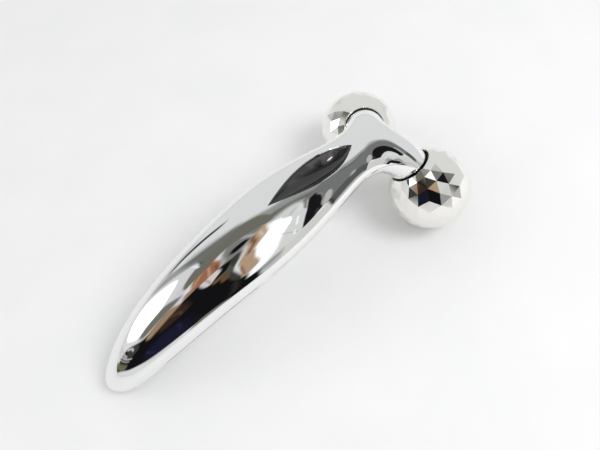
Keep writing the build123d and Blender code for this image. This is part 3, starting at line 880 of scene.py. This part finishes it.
def arm_value(places):
    """Positive on the handle's side of the arms' cut ends."""
    right = np.abs(places[:, 0])
    off = np.stack([right, places[:, 1], places[:, 2]], axis=1) - ball_centre
    return off @ shaft_direction - arm_end


def parting_line():
    """Side view of the line between the shells: along the flank, then down inside the fork arms."""
    rows = body_rows[2:-2]
    flank = [(tail_y - parting_run_on, parting_tail_height), (tail_y, parting_tail_height)]
    flank += [(tail_y + distance, (low + high) / 2) for distance, _, low, high in rows]
    ball = np.array((roller_y, ball_height))
    down = np.array((shaft_direction[1], shaft_direction[2])) / np.hypot(*shaft_direction[1:])
    corner = ball + down * (flank[-1][1] - ball_height) / down[1]
    turn = [corner + step for step in parting_bend] + [corner - drop * down for drop in parting_drop]
    foot = ball - parting_foot * down
    return open_curve([*flank, *turn, foot])


parting = parting_line()
above_parting = np.vstack([parting, [
    (roller_y + clear_ahead, parting[-1, 1]),
    (roller_y + clear_ahead, clear_above),
    (tail_y - parting_run_on, clear_above),
]])


def parting_value(places):
    """Positive in the upper shell."""
    side_view = places[:, 1:]
    depth = distance_to_line(side_view, parting)
    return np.where(inside(side_view, above_parting), depth, -depth)


def rim_steps(vertices):
    """How each edge turns in, as rows of (back from the edge, down below the surface)."""
    seam = np.array([(edge_gap + edge_bevel, 0), (edge_gap, edge_bevel), (edge_gap, shell_wall)])
    window = np.array([(0, 0), (-rim_bevel, rim_bevel), (-rim_bevel, shell_wall)])
    arm = np.array([(arm_bevel, 0), (0, arm_bevel), (0, shell_wall)])
    steps = np.tile(seam, (len(vertices), 1, 1))
    steps[np.abs(window_value(vertices)) < rim_snap] = window
    steps[np.abs(arm_value(vertices)) < rim_snap] = arm
    return steps


def handle_net():
    """Even triangles over the whole handle, open at the window and at the arms' cut ends."""
    vertices, quads = surface_net(handle_field, net_low, net_high, net_step)
    vertices = settle(vertices, quads)
    faces = to_triangles(vertices, quads)
    for value_of in (arm_value, window_value):
        vertices, faces, side = cut(vertices, faces, value_of)
        vertices, faces = kept(vertices, faces[side > 0])
    return vertices, faces


def add_handle_skin(material):
    """The two shells of the handle, cut from one smooth form."""
    vertices, faces = handle_net()
    vertices, faces, side = cut(vertices, faces, parting_value)
    vertices, outward = onto_surface(vertices, 1)
    shells = (("upper_shell_skin", "upper_shell", side > 0), ("lower_shell_skin", "lower_shell", side < 0))
    for name, node, part in shells:
        used, numbers = np.unique(faces[part], return_inverse=True)
        shell_faces = numbers.reshape(-1, 3)
        places, all_faces = turned_in(vertices[used], shell_faces, outward[used], rim_steps)
        piece = add_piece(name, places, all_faces, outward[used][shell_faces.ravel()])
        piece.data.materials.append(material)
        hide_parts(node)
        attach(piece, "handle")


# ---------------- window lens

dish_depth = 3.8  # where the window is widest
lens_thickness = 4.8
lens_gap = 0.05  # to the rim, at the sides and below it
lens_end_gap = 0.4  # to the pointed ends of the window
lens_rows = 96
lens_columns = 28


def lens_edge_height(place_y, half_width):
    """Height of the foot of the window's bevel, on the flank of the crown."""
    wide, middle, tall = body_line(np.array([place_y - tail_y]))[0][0]
    return middle + tall * math.sqrt(1 - ((half_width + rim_bevel) / wide)**2) - rim_bevel - lens_gap


def lens_places():
    """Points of the dish and of the underside below them, row by row from the tail end."""
    dish_axis = (window_half_width**2 - dish_depth**2) / (2 * dish_depth)
    top, bottom = [], []
    end = window_length / 2 - lens_end_gap
    for along in np.linspace(-end, end, lens_rows + 1):
        place_y = window_middle[1] + along * window_along[1]
        half_width = float(window_half_width_at(along)) - lens_gap
        edge = lens_edge_height(place_y, half_width)
        for share in np.linspace(-1, 1, lens_columns + 1):
            x = share * half_width
            dish = math.sqrt(dish_axis**2 + half_width**2 - x**2) - dish_axis
            top.append((x, place_y, edge - dish))
            bottom.append((x, place_y, edge - lens_thickness))
    return top, bottom


def lens_faces(count):
    """Faces of the dish first, then the side wall and the underside, whose points are count further on."""
    row = lens_columns + 1
    dish = [(i * row + j, i * row + j + 1, (i + 1) * row + j + 1, (i + 1) * row + j)
            for i in range(lens_rows) for j in range(lens_columns)]
    rim = [i * row for i in range(lens_rows + 1)]
    rim += [lens_rows * row + j for j in range(1, row)]
    rim += [i * row + row - 1 for i in range(lens_rows - 1, -1, -1)]
    rim += list(range(row - 2, 0, -1))
    wall = [(here, after, after + count, here + count) for here, after in zip(rim, rim[1:] + rim[:1])]
    underside = [tuple(corner + count for corner in face[::-1]) for face in dish]
    return dish, wall + underside


def add_lens_skin(material):
    """Smoked window: its edge follows the bevelled rim, and its top is a dish that runs out at both ends."""
    top, bottom = lens_places()
    dish, others = lens_faces(len(top))
    piece = add_piece("window_lens_skin", top + bottom, dish + others)
    smooth = np.zeros(len(piece.data.polygons), bool)
    smooth[:len(dish)] = True
    piece.data.polygons.foreach_set("use_smooth", smooth)
    piece.data.materials.append(material)
    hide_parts("window_lens")
    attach(piece, "handle")


# ---------------- materials

# Size of the patches over which tone and polish vary, in metres
chrome_grain = 0.02
polish_grain = 0.006
plastic_grain = 0.002
lens_grain = 0.003

plastic_ior = 1.5
lens_ior = 1.65
dish_floor_z = 0.95  # upward share of the normal on the lens's floor, and on its walls
dish_wall_z = 0.75

# Slot: dark tone, light tone, roughness
chromes = {
    "handle_chrome": ((0.89, 0.892, 0.892), (0.908, 0.91, 0.91), 0.025),
    "ball_chrome": ((0.89, 0.88, 0.845), (0.91, 0.90, 0.87), 0.03),
    "spring_brass": ((0.68, 0.48, 0.22), (0.76, 0.56, 0.28), 0.2),
    "steel": ((0.56, 0.56, 0.56), (0.64, 0.64, 0.64), 0.25),
}
plastics = {
    "black_rubber": ((0.008, 0.008, 0.008), (0.016, 0.016, 0.016), 0.5),
    "foam": ((0.02, 0.02, 0.02), (0.05, 0.05, 0.05), 0.9),
    "frame_plastic": ((0.08, 0.08, 0.085), (0.11, 0.11, 0.12), 0.45),
    "core_plastic": ((0.025, 0.025, 0.025), (0.04, 0.04, 0.04), 0.45),
    "bush_plastic": ((0.04, 0.04, 0.04), (0.06, 0.06, 0.06), 0.3),
    "solar_cell": ((0.03, 0.035, 0.06), (0.06, 0.065, 0.10), 0.2),
    "circuit_board": ((0.02, 0.16, 0.06), (0.04, 0.24, 0.10), 0.35),
    "component_body": ((0.045, 0.045, 0.045), (0.075, 0.075, 0.075), 0.4),
    "wire_insulation": ((0.30, 0.025, 0.025), (0.40, 0.04, 0.035), 0.35),
}
# Slot: size and depth of its surface's grain, in metres
grains = {
    "black_rubber": (0.0004, 0.00005),
    "foam": (0.0003, 0.0001),
    "frame_plastic": (0.0005, 0.00003),
    "core_plastic": (0.0005, 0.00003),
}


def polished(tree, shader, grain, roughness, spread):
    """Roughness that varies by a share of itself over patches of about the grain."""
    result = mottle(tree, grain, (1 - spread) * roughness, (1 + spread) * roughness)
    link(tree, result, shader.inputs["Roughness"])


def chrome(name, dark, light, roughness):
    """Plating whose tone and polish vary a little from place to place."""
    material, tree, shader = new_material(name)
    tinted(tree, shader, chrome_grain, dark, light)
    shader.inputs["Metallic"].default_value = 1
    polished(tree, shader, polish_grain, roughness, 0.4)
    return material


def plastic(name, dark, light, roughness):
    material, tree, shader = new_material(name)
    tinted(tree, shader, plastic_grain, dark, light)
    shader.inputs["IOR"].default_value = plastic_ior
    polished(tree, shader, plastic_grain, roughness, 0.2)
    return material


def smoked(name, floor, wall, roughness):
    """Smoked plastic: black where its dish lies flat over the cell, and grey on the dish's steep walls as a
    painted reflection.
    """
    material, tree, shader = new_material(name)
    place = tree.nodes.new("ShaderNodeTexCoord")
    parts = tree.nodes.new("ShaderNodeSeparateXYZ")
    steepness = tree.nodes.new("ShaderNodeMapRange")
    steepness.inputs["From Min"].default_value = dish_floor_z
    steepness.inputs["From Max"].default_value = dish_wall_z
    link(tree, place.outputs["Normal"], parts.inputs["Vector"])
    link(tree, parts.outputs["Z"], steepness.inputs["Value"])
    # painted reflection: the steeper the dish, the more it takes the grey wall tone
    toned(tree, shader, steepness.outputs["Result"], floor, wall)
    shader.inputs["IOR"].default_value = lens_ior
    polished(tree, shader, lens_grain, roughness, 0.2)
    return material


def roughen(material, grain, depth):
    """Roughen a material's surface by a depth in metres."""
    tree = material.node_tree
    bump = tree.nodes.new("ShaderNodeBump")
    bump.inputs["Distance"].default_value = depth
    link(tree, mottle(tree, grain, 0, 1), bump.inputs["Height"])
    link(tree, bump.outputs["Normal"], tree.nodes["Principled BSDF"].inputs["Normal"])


def slot_materials():
    """A material for each slot of the record."""
    materials = {slot: chrome(slot, *looks) for slot, looks in chromes.items()}
    materials.update((slot, plastic(slot, *looks)) for slot, looks in plastics.items())
    # the second, grey tone is a painted reflection on the dish's steep walls
    materials["smoked_lens"] = smoked("smoked_lens", (0.006, 0.006, 0.007), (0.062, 0.056, 0.060), 0.04)
    for slot, (grain, depth) in grains.items():
        roughen(materials[slot], grain, depth)
    return materials


def dress_nodes(materials):
    """Give each carried-over CAD piece its slot's material."""
    for row in frame["record"]["subparts"]:
        node = frame["nodes"][row["node"]]
        material = materials[row["material_slot"]]
        if node.data.materials:
            node.material_slots[0].material = material
        else:
            node.data.materials.append(material)


# ---------------- build

bpy.context.scene.view_settings.view_transform = "Standard"
add_camera()
add_floor()
add_dome()
for lamp in lamps:
    add_lamp(*lamp)
add_world()
materials = slot_materials()
dress_nodes(materials)
add_handle_skin(materials["handle_chrome"])
add_lens_skin(materials["smoked_lens"])
